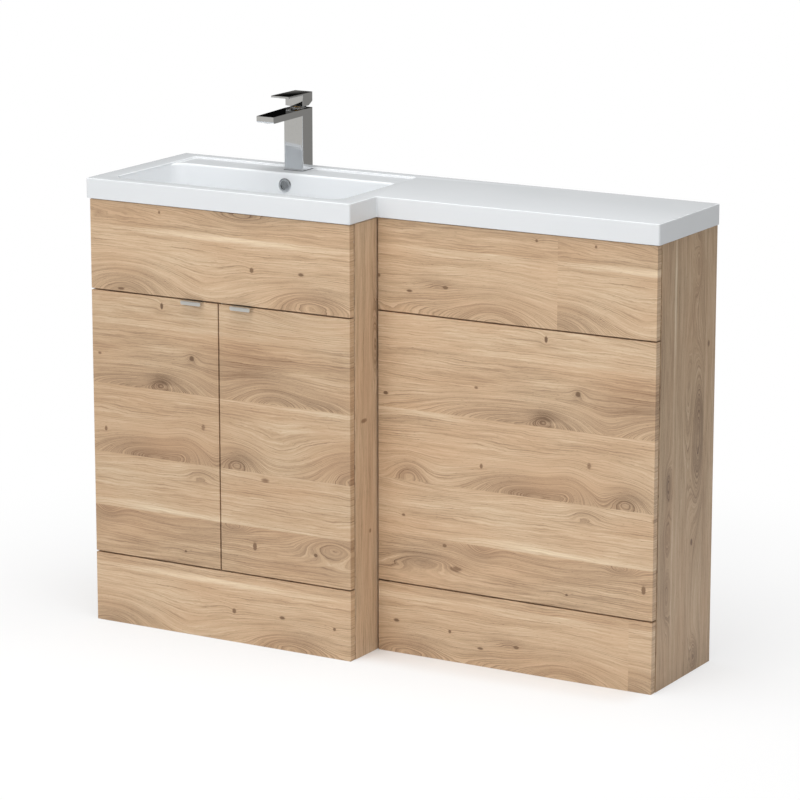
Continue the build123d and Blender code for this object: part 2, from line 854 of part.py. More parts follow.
def waste_plug():
    x = centre_line
    y = waste_from_front
    seat = dish_level - waste_recess_depth + waste_flange + plug_seat_gap
    disc = rod_z(x, y, seat, seat + plug_edge, plug_radius)
    crown_radius = (plug_radius ** 2 + plug_crown ** 2) / (2 * plug_crown)
    crown = Pos(x, y, seat + plug_edge + plug_crown - crown_radius) * Sphere(crown_radius)
    crown &= rod_z(x, y, seat + plug_edge, seat + plug_edge + 2 * plug_crown, plug_radius)
    skirt_ring = rod_z(x, y, seat - plug_skirt_length, seat, plug_skirt_radius)
    stem = rod_z(x, y, seat - plug_stem_length, seat, plug_stem_radius)
    return disc + crown + skirt_ring + stem


def waste_seal():
    top = bowl_underside - duct_height
    ring = rod_z(centre_line, waste_from_front, top - seal_thickness, top, seal_radius)
    return ring - rod_z(centre_line, waste_from_front, top - seal_thickness, top,
                        waste_tail_radius + slip_clearance)


def waste_backnut():
    top = bowl_underside - duct_height - seal_thickness
    nut = Pos(centre_line, waste_from_front, top - backnut_height) * extrude(
        RegularPolygon(backnut_radius, 6), amount=backnut_height)
    return nut - rod_z(centre_line, waste_from_front, top - backnut_height, top,
                       waste_tail_radius + slip_clearance)


# Basin mixer: square body and spout in one casting, cartridge, spindle and lever, and its fixings
def tap_place():
    return Pos(centre_line, tap_from_front, deck + tap_base_thickness)


def tap_body():
    width = tap_body_width
    half_depth = tap_body_depth / 2
    column = Box(width, tap_body_depth, tap_body_height, align=(Align.CENTER, Align.CENTER, Align.MIN))
    column = fillet(column.edges().filter_by(Axis.Z), tap_corner_radius)
    column = fillet(column.faces().sort_by(Axis.Z)[-1].edges(), spout_edge_round)
    tip = -half_depth - spout_reach
    root = -half_depth + spout_root
    plan = [(-spout_tip_width / 2, tip), (spout_tip_width / 2, tip), (width / 2, root), (-width / 2, root)]
    spout = prism_z(plan, -spout_thickness, 0)
    nose = spout.edges().filter_by(Axis.X).group_by(Axis.Y)[0].sort_by(Axis.Z)
    spout = fillet(nose[:1], spout_nose_radius)
    seat_y = tip + aerator_from_tip
    spout -= rod_z(0, seat_y, -spout_thickness, -spout_thickness + aerator_seat_depth, aerator_seat_radius)
    level = Pos(0, root, tap_body_height) * Rotation(spout_slope, 0, 0) * Pos(0, -root, 0)
    body = column + level * spout
    top = tap_body_height
    body -= rod_z(0, 0, top - cartridge_bore_depth, top, cartridge_bore_radius)
    way = rod_y(0, seat_y, -half_depth / 2, -spout_thickness + aerator_seat_depth - waterway_radius,
                waterway_radius)
    body -= level * way
    body -= rod_z(0, -stud_from_axis, 0, stud_in_body, stud_radius + slip_clearance)
    for side in (-1, 1):
        body -= rod_z(side * inlet_spread, inlet_behind_axis, 0, inlet_depth, inlet_radius)
    return tap_place() * body


def tap_base():
    width = tap_body_width + 2 * tap_base_border
    depth = tap_body_depth + 2 * tap_base_border
    plate = Box(width, depth, tap_base_thickness, align=(Align.CENTER, Align.CENTER, Align.MAX))
    plate = fillet(plate.edges().filter_by(Axis.Z), tap_corner_radius + tap_base_border)
    return tap_place() * (plate - Cylinder(tap_hole_radius - 1, 4 * tap_base_thickness))


def tap_aerator():
    tip = -tap_body_depth / 2 - spout_reach
    root = -tap_body_depth / 2 + spout_root
    seat_y = tip + aerator_from_tip
    low = -spout_thickness - aerator_proud
    high = -spout_thickness + aerator_seat_depth - waterway_radius * 2
    ring = rod_z(0, seat_y, low, high, aerator_radius)
    ring -= rod_z(0, seat_y, low, high, aerator_bore_radius)
    screen = []
    for step in range(-3, 4):
        shift = step * aerator_bore_radius / 3.5
        screen.append(block(shift - aerator_bar / 2, shift + aerator_bar / 2, seat_y - aerator_bore_radius - 1,
                            seat_y + aerator_bore_radius + 1, low + 1, low + 1 + aerator_bar))
        screen.append(block(-aerator_bore_radius - 1, aerator_bore_radius + 1,
                            seat_y + shift - aerator_bar / 2, seat_y + shift + aerator_bar / 2,
                            low + 1, low + 1 + aerator_bar))
    mesh = (screen[0] + screen[1:]) & rod_z(0, seat_y, low, high, aerator_bore_radius + 0.5)
    level = Pos(0, root, tap_body_height) * Rotation(spout_slope, 0, 0) * Pos(0, -root, 0)
    return tap_place() * level * (ring + mesh)


def tap_cartridge():
    bottom = tap_body_height - cartridge_bore_depth
    body = rod_z(0, 0, bottom, bottom + cartridge_height, cartridge_radius)
    neck = rod_z(0, 0, bottom + cartridge_height, tap_body_height + neck_proud, cartridge_neck_radius)
    top = tap_body_height + neck_proud
    socket = rod_z(0, 0, top - spindle_shank_length - spindle_gap, top,
                   spindle_shank_radius + running_clearance)
    return tap_place() * (body + neck - socket)


def tap_neck():
    top = tap_body_height + neck_proud
    ring = rod_z(0, 0, tap_body_height, top, neck_radius)
    ring = fillet(ring.faces().sort_by(Axis.Z)[-1].edges(), neck_proud / 3)
    ring += rod_z(0, 0, tap_body_height - neck_thread_depth, tap_body_height, neck_thread_radius)
    return tap_place() * (ring - rod_z(0, 0, tap_body_height - neck_thread_depth, top, neck_bore_radius))


def lever_pivot_height():
    return tap_body_height + neck_proud + lever_pivot_above_neck


def tap_spindle():
    bottom = tap_body_height + neck_proud + spindle_gap
    pivot = lever_pivot_height()
    spindle = rod_z(0, 0, bottom, pivot + spindle_above_pivot, spindle_radius)
    spindle = fillet(spindle.faces().sort_by(Axis.Z)[-1].edges(), lever_round)
    spindle += rod_z(0, 0, bottom - spindle_shank_length, bottom, spindle_shank_radius)
    return tap_place() * (spindle - rod_x(-spindle_radius, spindle_radius, 0, pivot,
                                          lever_pin_radius + running_clearance))


def tap_lever():
    bottom = tap_body_height + lever_gap
    plate_bottom = bottom + lever_block_height
    top = plate_bottom + lever_plate
    back = lever_behind_axis
    front = back - lever_block_depth
    half = lever_width / 2
    profile = [(back - lever_length, plate_bottom), (front, plate_bottom), (front, bottom),
               (back - lever_chamfer_length, bottom),
               (back, bottom + lever_chamfer_height), (back, top), (back - lever_length, top)]
    lever = eased(prism_x(profile, -half, half))
    hollow = block(-half + lever_side_wall, half - lever_side_wall, front + lever_wall, back - lever_wall,
                   bottom, plate_bottom - lever_wall)
    lever -= hollow
    reach = half - lever_side_wall / 2
    pin_hole = rod_x(-reach, reach, 0, lever_pivot_height(), lever_pin_radius + slip_clearance)
    return tap_place() * (lever - pin_hole)


def lever_pin():
    reach = lever_width / 2 - lever_side_wall / 2
    return tap_place() * rod_x(-reach + slip_clearance, reach - slip_clearance, 0, lever_pivot_height(),
                               lever_pin_radius)


def tap_stud():
    bottom = -tap_base_thickness - (deck - slab_underside) - stud_below_deck
    return tap_place() * rod_z(0, -stud_from_axis, bottom, stud_in_body, stud_radius)


def fixing_washer_plate():
    top = -tap_base_thickness - (deck - slab_underside)
    disc = rod_z(0, 0, top - fixing_washer, top, fixing_washer_radius)
    slot = block(-inlet_spread - 2 * inlet_radius, inlet_spread + 2 * inlet_radius, -inlet_radius / 2,
                 2 * fixing_washer_radius, top - fixing_washer, top)
    disc -= slot
    return tap_place() * (disc - rod_z(0, -stud_from_axis, top - fixing_washer, top,
                                       stud_radius + slip_clearance))


def fixing_nut():
    top = -tap_base_thickness - (deck - slab_underside) - fixing_washer
    nut = Pos(0, -stud_from_axis, top - fixing_nut_height) * extrude(
        RegularPolygon(fixing_nut_radius, 6), amount=fixing_nut_height)
    return tap_place() * (nut - rod_z(0, -stud_from_axis, top - fixing_nut_height, top,
                                      stud_radius + slip_clearance))


# Every piece, under the name of its node
def right_hand(solids):
    return [mirrored(solid, 0, vanity_width) for solid in solids]


def all_parts():
    vanity_top_rail, vanity_low_rail = back_rails(0, vanity_width, carcass_front)
    wc_top_rail, wc_low_rail = back_rails(wc_left, wc_right, wc_carcass_front)
    left_gable = vanity_gable()
    wc_left_gable = wc_gable()
    wc_places = dowel_places(wc_carcass_front)
    low_rail_bottom = bottom_top - board
    cups = [hinge_cup(z) for z in hinge_heights()]
    screws = cup_screws(hinge_heights()[0]) + cup_screws(hinge_heights()[1])
    links = [hinge_link(z) for z in hinge_heights()]
    arms = [hinge_arm(z) for z in hinge_heights()]
    plates = [hinge_plate(z) for z in hinge_heights()]
    pins = [hinge_pin(z) for z in hinge_heights()]
    return {
        "vanity_gable_left": [left_gable],
        "vanity_gable_right": [mirrored(left_gable, 0, vanity_width) - joining_bolt_holes()],
        "vanity_bottom": [rail(0, vanity_width, carcass_front, vanity_depth, bottom_top - board, bottom_top,
                               dowel_places(carcass_front)["bottom"])],
        "vanity_front_rail": [middle_rail(0, vanity_width, carcass_front)],
        "vanity_back_rail_upper": [vanity_top_rail],
        "vanity_back_rail_lower": [vanity_low_rail],
        "vanity_shelf": [shelf()],
        "shelf_pins": shelf_pins(),
        "carcass_dowels": carcass_dowels(),
        "vanity_fascia": [fixed_panel(0, vanity_width, 0, fascia_bottom, cabinet_height)],
        "vanity_plinth": [fixed_panel(0, vanity_width, 0, 0, plinth_height)],
        "vanity_panel_clips": panel_clips(0, vanity_width, 0, 0, plinth_height)
        + panel_clips(0, vanity_width, 0, fascia_bottom, cabinet_height),
        "door_left": [door()],
        "door_right": right_hand([door()]),
        "handle_left": [handle()],
        "handle_right": right_hand([handle()]),
        "handle_screws_left": handle_screws(),
        "handle_screws_right": right_hand(handle_screws()),
        "door_bumpers_left": door_bumpers(),
        "door_bumpers_right": right_hand(door_bumpers()),
        "hinge_cups_left": cups,
        "hinge_cups_right": right_hand(cups),
        "hinge_cup_screws_left": screws,
        "hinge_cup_screws_right": right_hand(screws),
        "hinge_links_left": links,
        "hinge_links_right": right_hand(links),
        "hinge_arms": arms + right_hand(arms),
        "hinge_arm_pins": pins + right_hand(pins),
        "hinge_plates": plates + right_hand(plates),
        "hinge_plate_screws": plate_screws() + right_hand(plate_screws()),
        "wc_gable_left": [wc_left_gable - joining_bolt_holes()],
        "wc_gable_right": [mirrored(wc_left_gable, wc_left, wc_right)],
        "wc_front_rail_upper": [rail(wc_left, wc_right, wc_carcass_front, wc_carcass_front + board,
                                     cabinet_height - wc_top_rail_height, cabinet_height,
                                     wc_places["front_top"])],
        "wc_front_rail_middle": [middle_rail(wc_left, wc_right, wc_carcass_front)],
        "wc_front_rail_lower": [rail(wc_left, wc_right, wc_carcass_front,
                                     wc_carcass_front + flat_rail_depth, low_rail_bottom, bottom_top,
                                     wc_places["lower"])],
        "wc_back_rail_upper": [wc_top_rail],
        "wc_back_rail_lower": [wc_low_rail],
        "wc_fascia": [fixed_panel(wc_left, wc_right, wc_front, fascia_bottom, cabinet_height)],
        "wc_lower_panel": [fixed_panel(wc_left, wc_right, wc_front, door_bottom, door_top)],
        "wc_plinth": [fixed_panel(wc_left, wc_right, wc_front, 0, plinth_height)],
        "wc_panel_clips": wc_clips(),
        "joining_bolts": joining_bolts(),
        "basin_top": [basin_top()],
        "basin_bowl": [basin_bowl()],
        "bedding_sealant": [bedding_ring(0, vanity_width, 0), bedding_ring(wc_left, wc_right, wc_front)],
        "overflow_ring": [overflow_ring()],
        "overflow_duct": [overflow_duct()],
        "waste_body": [waste_body()],
        "waste_plug": [waste_plug()],
        "waste_seal": [waste_seal()],
        "waste_backnut": [waste_backnut()],
        "tap_body": [tap_body()],
        "tap_base": [tap_base()],
        "tap_aerator": [tap_aerator()],
        "tap_cartridge": [tap_cartridge()],
        "tap_neck": [tap_neck()],
        "tap_spindle": [tap_spindle()],
        "tap_lever": [tap_lever()],
        "lever_pin": [lever_pin()],
        "tap_fixings": [tap_stud(), fixing_washer_plate(), fixing_nut()],
    }


os.makedirs("parts", exist_ok=True)
for name, solids in all_parts().items():
    placed = [to_origin * solid for solid in solids]
    whole = placed[0] if len(placed) == 1 else Compound(children=placed)
    export_step(whole, "parts/" + name + ".step")
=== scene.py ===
import bpy
import math
import numpy as np
from mathutils import Matrix, Vector


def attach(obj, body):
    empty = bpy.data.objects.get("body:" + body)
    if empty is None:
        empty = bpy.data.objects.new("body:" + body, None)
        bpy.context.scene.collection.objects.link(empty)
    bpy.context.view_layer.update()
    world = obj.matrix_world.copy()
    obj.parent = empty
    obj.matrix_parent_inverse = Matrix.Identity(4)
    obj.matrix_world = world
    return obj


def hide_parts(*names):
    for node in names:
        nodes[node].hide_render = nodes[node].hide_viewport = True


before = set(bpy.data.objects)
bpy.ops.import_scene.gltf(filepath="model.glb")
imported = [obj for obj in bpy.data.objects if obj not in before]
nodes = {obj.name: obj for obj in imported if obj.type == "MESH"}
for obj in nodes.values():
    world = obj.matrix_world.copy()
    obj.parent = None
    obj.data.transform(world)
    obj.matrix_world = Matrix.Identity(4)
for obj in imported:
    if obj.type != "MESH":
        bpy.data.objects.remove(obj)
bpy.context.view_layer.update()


# Doors, fascias, plinths and the WC panel: chipboard faced with an oak print that shows wide planks laid flat.
# The same print comes round again on each board, so one pattern serves the doors and the WC panel and another
# serves the fascias and plinths, each board showing its own stretch of it.
class Field:
    """One output of a shader node. Arithmetic makes Math nodes, and node() makes every other kind."""

    def __init__(self, tree, socket=None):
        self.tree = tree
        self.socket = socket

    def node(self, kind, settings, inputs, output=0):
        made = self.tree.nodes.new(kind)
        for name, value in settings.items():
            setattr(made, name, value)
        for name, value in inputs.items():
            if isinstance(value, Field):
                self.tree.links.new(value.socket, made.inputs[name])
            else:
                made.inputs[name].default_value = value
        return Field(self.tree, None if output is None else made.outputs[output])

    def math(self, operation, *values):
        return self.node("ShaderNodeMath", {"operation": operation}, dict(enumerate(values)))

    def __add__(self, other):
        return self.math("ADD", self, other)

    def __radd__(self, other):
        return self.math("ADD", other, self)

    def __sub__(self, other):
        return self.math("SUBTRACT", self, other)

    def __rsub__(self, other):
        return self.math("SUBTRACT", other, self)

    def __mul__(self, other):
        return self.math("MULTIPLY", self, other)

    def __rmul__(self, other):
        return self.math("MULTIPLY", other, self)

    def __truediv__(self, other):
        return self.math("DIVIDE", self, other)

    def __rtruediv__(self, other):
        return self.math("DIVIDE", other, self)

    def __pow__(self, other):
        return self.math("POWER", self, other)

    def __neg__(self):
        return self.math("MULTIPLY", self, -1.0)


def start_material(name):
    """A new material with an empty tree: gives the material and a Field to build its nodes with."""
    material = bpy.data.materials.new(name)
    material.use_nodes = True
    material.node_tree.nodes.clear()
    return material, Field(material.node_tree)


def finish_material(field, constants, varying):
    """Ends a material in a Principled shader, with its constants on its own sockets."""
    inputs = dict(constants)
    inputs.update(varying)
    shader = field.node("ShaderNodeBsdfPrincipled", {}, inputs)
    field.node("ShaderNodeOutputMaterial", {}, {"Surface": shader}, None)


def place(field):
    """The piece's own x, y and z in millimetres."""
    point = field.node("ShaderNodeTexCoord", {}, {}, "Object")
    point = field.node("ShaderNodeVectorMath", {"operation": "SCALE"}, {0: point, "Scale": 1000.0})
    return [field.node("ShaderNodeSeparateXYZ", {}, {0: point}, axis) for axis in range(3)]


def joined(field, x, y, z):
    return field.node("ShaderNodeCombineXYZ", {}, {0: x, 1: y, 2: z})


def noise(field, x, y, z, detail=2.0, roughness=0.5):
    """Smooth noise from -1 to 1 about, with features one unit long."""
    value = field.node("ShaderNodeTexNoise", {"noise_dimensions": "3D"},
                       {"Vector": joined(field, x, y, z), "Scale": 1.0, "Detail": detail,
                        "Roughness": roughness}, 0)
    return (value - 0.5) * 2.0


def mixed(field, factor, first, second):
    """A blend of two colours, each a Field or four numbers."""
    return field.node("ShaderNodeMix", {"data_type": "RGBA", "clamp_factor": True},
                      {0: factor, 6: first, 7: second}, 2)


def bump(field, height, strength, distance):
    return field.node("ShaderNodeBump", {}, {"Height": height, "Strength": strength, "Distance": distance})


def rgb(red, green, blue):
    """A colour as it looks on a screen, from 0 to 255, as the linear colour that a shader takes."""
    values = np.array([red, green, blue]) / 255.0
    linear = np.where(values <= 0.04045, values / 12.92, ((values + 0.055) / 1.055) ** 2.4)
    return (*[float(value) for value in linear], 1.0)


def hills(u, v, figures):
    """The bend of the growth lines, and the darkening, by smooth hills: exp of minus the squared distance."""
    bend = 0.0
    shade = 0.0
    for centre_u, centre_v, half_u, half_v, count, dark in figures:
        across = (u - centre_u) / half_u
        up = (v - centre_v) / half_v
        hill = u.math("EXPONENT", -(across * across + up * up))
        bend = hill * count + bend
        shade = hill * dark + shade
    return bend, shade


def oak(u, v, field, planks, knots, streaks, palette):
    """Growth lines are levels of v plus low noise plus the hills of each plank; fibres run along the levels.

    u runs along the grain and v across it, in millimetres. A plank is its lower edge, upper edge, tone and
    hills. A knot is a small dark hill, and a streak is a long pale one.
    """
    line_spacing = 4.8
    hill_steepness = 1.7
    knot_pull = 0.7
    lines = v / line_spacing + noise(field, u / 260.0, v / 85.0, 3.1, 1.0) * 1.7
    lines = lines + noise(field, u / 50.0, v / 16.0, 8.4, 3.0) * 0.9
    tone = 0.0
    seed = 0.0
    shade = 0.0
    for number, (low, high, level, figures) in enumerate(planks):
        inside = v.math("GREATER_THAN", v, low) * v.math("LESS_THAN", v, high)
        tone = inside * level + tone
        seed = inside * (number * 7.3) + seed
        if figures:
            bend, dark = hills(u, v, figures)
            lines = inside * bend * hill_steepness + lines
            shade = inside * dark + shade
    for centre_u, centre_v, half_u, half_v, dark in knots:
        across = (u - centre_u) / half_u
        up = (v - centre_v) / half_v
        distance = across * across + up * up
        lines = field.math("EXPONENT", -(distance / 9.0)) * knot_pull + lines
        shade = field.math("EXPONENT", -(distance * distance)) * dark + shade
    pale = 0.0
    for centre_u, centre_v, half_u, half_v, light in streaks:
        across = (u - centre_u) / half_u
        up = (v - centre_v) / half_v
        pale = field.math("EXPONENT", -(across * across + up * up)) * light + pale
    broad = noise(field, u / 260.0, lines * 0.3, seed, 4.0, 0.65)
    fibre = noise(field, u / 70.0, lines * 2.6, seed + 2.0, 3.0, 0.75)
    streaky = noise(field, u / 150.0, lines * 1.1, seed + 3.0, 4.0, 0.75)
    part = lines.math("FRACT", lines)
    strength = noise(field, u / 230.0, lines * 0.8, seed + 5.0, 1.0) + 0.35
    late = (part ** 3.0) * strength.math("MAXIMUM", strength, 0.0)
    pores = noise(field, u / 9.0, v / 1.1, seed + 9.0, 2.0)
    pores = pores.math("MAXIMUM", pores - 0.25, 0.0)
    value = tone + broad * 0.32 + streaky * 0.32 + fibre * 0.36 - late * (0.42 + shade * 3.2) - shade * 1.8 + pale
    value = value - pores * 1.0 + 0.04
    half = value * 2.0
    colour = mixed(field, half, palette[0], palette[1])
    colour = mixed(field, half - 1.0, colour, palette[2])
    warm = noise(field, u / 210.0, v / 70.0, seed + 12.0, 1.0)
    colour = mixed(field, warm * 0.35 + 0.12, colour, palette[3])
    rough = 0.5 - broad * 0.06 + pores * 0.3
    height = fibre * 0.5 - pores * 1.5 - late * 0.3
    return colour, rough, bump(field, height, 0.25, 0.0002)


def dress(names, material):
    for name in names:
        for slot in nodes[name].material_slots:
            slot.material = material


OAK_FRONT = (rgb(118, 92, 70), rgb(201, 172, 140), rgb(238, 220, 190), rgb(208, 166, 128))
OAK_DOOR = (rgb(115, 89, 68), rgb(195, 166, 134), rgb(231, 213, 184), rgb(202, 160, 123))
# lower edge, upper edge, tone, and the hills: along, up, half length, half height, lines, darkening
DOOR_PLANKS = [
    (618, 900, 0.55, [(520, 694, 90, 34, 6.0, 0.0), (100, 690, 200, 40, -2.0, 0.0)]),
    (494, 618, 0.46, [(115, 498, 175, 36, -15.0, 0.08), (166, 508, 26, 17, -6.0, 0.16),
                      (430, 496, 72, 36, -12.0, 0.08), (365, 575, 75, 42, 0.0, 0.13),
                      (290, 505, 55, 35, 4.0, 0.0), (540, 500, 50, 20, -4.0, 0.06),
                      (237, 566, 14, 12, -2.5, 0.06)]),
    (353, 494, 0.50, [(140, 360, 105, 34, -15.0, 0.17), (222, 378, 42, 40, -7.0, 0.04),
                      (345, 372, 48, 30, -7.0, 0.12), (430, 404, 90, 46, 3.6, 0.0),
                      (608, 372, 72, 44, -10.0, 0.12), (-130, 372, 38, 28, -5.0, 0.10)]),
    (242, 353, 0.53, [(255, 336, 36, 18, -2.0, 0.07), (-60, 350, 120, 20, 2.0, 0.0)]),
    (-50, 242, 0.42, [(170, 250, 130, 34, 6.0, 0.06), (332, 236, 28, 12, 4.0, 0.10),
                      (-95, 196, 75, 18, -4.0, 0.12), (560, 225, 70, 26, -7.0, 0.05),
                      (30, 236, 36, 22, 5.0, 0.10)]),
]
DOOR_KNOTS = [(168, 664, 3.0, 6.0, 0.5), (30, 401, 3.0, 4.5, 0.5), (262, 430, 4.0, 6.0, 0.22),
              (405, 340, 9.0, 4.0, 0.28), (380, 203, 4.0, 7.0, 0.55), (520, 204, 3.5, 3.0, 0.5),
              (217, 171, 2.5, 2.0, 0.4), (-182, 521, 5.0, 3.0, 0.4), (-142, 282, 3.5, 2.5, 0.35),
              (-50, 232, 4.0, 3.0, 0.4), (18, 554, 4.0, 2.5, 0.3), (237, 566, 5.0, 5.0, 0.25),
              (-25, 188, 12.0, 5.0, 0.28)]
DOOR_STREAKS = [(200, 249, 260, 7, 0.26), (540, 489, 110, 5, 0.26), (-120, 490, 120, 5, 0.16),
                (180, 621, 160, 6, 0.10), (180, 502, 16, 5, 0.24)]
TRIM_PLANKS = [
    (816, 900, 0.45, [(360, 856, 70, 16, 3.0, 0.06), (-10, 852, 160, 22, -3.0, 0.0)]),
    (600, 816, 0.53, [(80, 686, 92, 50, -15.0, 0.10), (278, 712, 70, 44, 2.5, 0.0),
                      (515, 702, 96, 34, -8.0, 0.11), (700, 706, 70, 30, -4.0, 0.08),
                      (862, 688, 108, 54, -14.0, 0.07), (740, 748, 44, 12, -2.0, 0.10)]),
]
TRIM_KNOTS = [(165, 851, 2.5, 2.5, 0.45), (378, 756, 4.0, 5.0, 0.4), (490, 758, 6.0, 3.0, 0.35),
              (610, 752, 3.0, 3.0, 0.45), (757, 742, 5.0, 3.0, 0.4), (678, 728, 6.0, 2.5, 0.35),
              (953, 851, 2.5, 2.5, 0.45), (72, 690, 7.0, 2.5, 0.3)]
TRIM_STREAKS = [(330, 811, 190, 6, 0.34), (-50, 811, 120, 5, 0.10), (790, 811, 220, 6, 0.08)]
half_unit = 600.5


def front_material(name, palette, planks, knots, streaks, start, shift, lift, joint=None, shift_after=0.0):
    """start is the board's left end; shift and lift say which stretch of the print it shows."""
    material, field = start_material(name)
    x, y, z = place(field)
    u = x + (half_unit - start + shift)
    if joint is not None:
        u = field.math("GREATER_THAN", x, start - half_unit + joint) * (shift_after - shift) + u
    colour, rough, relief = oak(u, z + lift, field, planks, knots, streaks, palette)
    finish_material(field, {"Specular IOR Level": 0.35},
                    {"Base Color": colour, "Roughness": rough, "Normal": relief})
    return material


dress(["door_left", "door_right"],
      front_material("oak_doors", OAK_DOOR, DOOR_PLANKS, DOOR_KNOTS, DOOR_STREAKS, 0.0, 0.0, 0.0))
dress(["wc_lower_panel"],
      front_material("oak_wc_panel", OAK_FRONT, DOOR_PLANKS, DOOR_KNOTS, DOOR_STREAKS, 602.0, -200.0, 0.0))
dress(["vanity_fascia"],
      front_material("oak_vanity_fascia", OAK_FRONT, TRIM_PLANKS, TRIM_KNOTS, TRIM_STREAKS, 0.0, 0.0, 0.0))
dress(["vanity_plinth"],
      front_material("oak_vanity_plinth", OAK_FRONT, TRIM_PLANKS, TRIM_KNOTS, TRIM_STREAKS, 0.0, 48.0, 692.0))
dress(["wc_fascia"],
      front_material("oak_wc_fascia", OAK_FRONT, TRIM_PLANKS, TRIM_KNOTS, TRIM_STREAKS, 602.0, 607.0, 0.0,
                     391.0, -306.0))
dress(["wc_plinth"],
      front_material("oak_wc_plinth", OAK_FRONT, TRIM_PLANKS, TRIM_KNOTS, TRIM_STREAKS, 602.0, 448.0, 692.0,
                     550.0, -465.0))


# Gables: the same print with its grain upright, so its planks stand side by side and their joints run from top
# to bottom. The WC unit's outer gable shows a pale joint and a long dark figure.
OAK_GABLE = (rgb(112, 88, 70), rgb(189, 162, 132), rgb(226, 209, 182), rgb(194, 157, 124))
# Painted light: the vanity gables take a lighter, warmer copy of the gable palette, so they look more brightly
# lit than the WC gables.
OAK_GABLE_PAINTED_LIGHT = (rgb(138, 108, 82), rgb(212, 185, 154), rgb(232, 217, 190), rgb(214, 174, 140))
GABLE_PLANKS = [
    (-200, 3, 0.44, [(300, -22, 60, 22, 5.0, 0.08), (180, -18, 60, 18, 5.0, 0.06), (400, -16, 40, 14, 4.0, 0.10),
                     (640, -60, 90, 20, -5.0, 0.05), (620, -76, 50, 16, 4.0, 0.08)]),
    (3, 137, 0.50, [(470, 120, 150, 34, -12.0, 0.12), (560, 64, 110, 26, 4.0, 0.02),
                    (800, 108, 50, 18, -5.0, 0.08), (30, 114, 40, 20, -5.0, 0.10)]),
    (137, 400, 0.47, []),
]
GABLE_KNOTS = [(262, 92, 6.0, 4.0, 0.45), (473, -121, 4.0, 10.0, 0.35), (640, 153, 6.0, 4.0, 0.3),
               (248, -98, 4.0, 4.0, 0.3)]
GABLE_STREAKS = [(760, 6, 330, 4, 0.30), (120, 6, 260, 4, 0.14)]


def gable_material(name, palette):
    material, field = start_material(name)
    x, y, z = place(field)
    colour, rough, relief = oak(z, y, field, GABLE_PLANKS, GABLE_KNOTS, GABLE_STREAKS, palette)
    finish_material(field, {"Specular IOR Level": 0.35},
                    {"Base Color": colour, "Roughness": rough, "Normal": relief})
    return material


dress(["wc_gable_left", "wc_gable_right"], gable_material("oak_wc_gables", OAK_GABLE))
# The vanity gables wear the lighter palette, which is painted light.
dress(["vanity_gable_left", "vanity_gable_right"], gable_material("oak_vanity_gables_painted_light", OAK_GABLE_PAINTED_LIGHT))


# Rails, bottom and shelf inside the cabinets: thinner oak print on every face, seen in the gaps between the
# fronts and with the doors open. Its grain runs along each board.
OAK_INNER = (rgb(118, 88, 64), rgb(192, 160, 126), rgb(224, 202, 168), rgb(200, 152, 114))
INNER_PLANKS = [(-900, 250, 0.48, []), (250, 480, 0.52, []), (480, 700, 0.46, []), (700, 900, 0.5, [])]


def inner_material():
    material, field = start_material("oak_inner")
    x, y, z = place(field)
    colour, rough, relief = oak(x + 77.0, z + y * 1.2, field, INNER_PLANKS, [], [], OAK_INNER)
    finish_material(field, {"Specular IOR Level": 0.35},
                    {"Base Color": colour, "Roughness": rough, "Normal": relief})
    return material


dress(["vanity_bottom", "vanity_front_rail", "vanity_back_rail_upper", "vanity_back_rail_lower", "vanity_shelf",
       "wc_front_rail_upper", "wc_front_rail_middle", "wc_front_rail_lower", "wc_back_rail_upper",
       "wc_back_rail_lower"], inner_material())


# Basin top: one casting of white mineral resin with a gloss gel coat, an L-shaped slab with a skirt and a deep
# bowl. The two CAD pieces are joined to one here, so that the light runs over the edge of the bowl unbroken.
def smooth_copy(name, names, angle):
    """Merges the triangles of some nodes into one mesh, smooth except where faces turn by more than angle."""
    points = []
    faces = []
    for node in names:
        mesh = nodes[node].data
        found = np.empty(len(mesh.vertices) * 3)
        mesh.vertices.foreach_get("co", found)
        corners = np.empty(len(mesh.loop_triangles) * 3, dtype=np.int32)
        mesh.loop_triangles.foreach_get("vertices", corners)
        faces.append(corners.reshape(-1, 3) + sum(len(part) for part in points))
        points.append(found.reshape(-1, 3))
    points = np.concatenate(points)
    faces = np.concatenate(faces)
    microns = 1e6
    key = np.round(points * microns).astype(np.int64)
    first, back = np.unique(key, axis=0, return_index=True, return_inverse=True)[1:]
    faces = back.reshape(-1)[faces]
    whole = (faces[:, 0] != faces[:, 1]) & (faces[:, 1] != faces[:, 2]) & (faces[:, 0] != faces[:, 2])
    mesh = bpy.data.meshes.new(name)
    mesh.from_pydata(points[first].tolist(), [], faces[whole].tolist())
    mesh.validate()
    piece = bpy.data.objects.new(name, mesh)
    bpy.context.scene.collection.objects.link(piece)
    mesh.shade_smooth()
    mesh.set_sharp_from_angle(angle=math.radians(angle))
    return piece


def take_over(piece, body, names, material):
    """The new piece rides on a body in place of CAD nodes, with the finish it is given."""
    piece.data.materials.append(material)
    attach(piece, body)
    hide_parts(*names)


def gloss_resin():
    material, field = start_material("basin_gloss")
    x, y, z = place(field)
    cloud = noise(field, x / 140.0, y / 140.0, z / 60.0, 3.0)
    peel = noise(field, x / 9.0, y / 9.0, z / 9.0, 2.0)
    speck = noise(field, x / 1.5, y / 1.5, z / 1.5, 1.0)
    colour = mixed(field, cloud * 0.5 + 0.5, rgb(222, 225, 227), rgb(227, 229, 231))
    colour = mixed(field, speck.math("GREATER_THAN", speck, 0.62) * 0.10, colour, rgb(205, 205, 200))
    rough = 0.16 + cloud * 0.02 + peel * 0.01
    finish_material(field, {"Specular IOR Level": 0.24, "Coat Weight": 0.12, "Coat Roughness": 0.05},
                    {"Base Color": colour, "Roughness": rough, "Normal": bump(field, peel, 0.06, 0.00015)})
    return material


basin_names = [name for name in ("basin_top", "basin_bowl") if name in nodes]
basin = smooth_copy("basin", basin_names, 30)
take_over(basin, "cabinet", basin_names, gloss_resin())


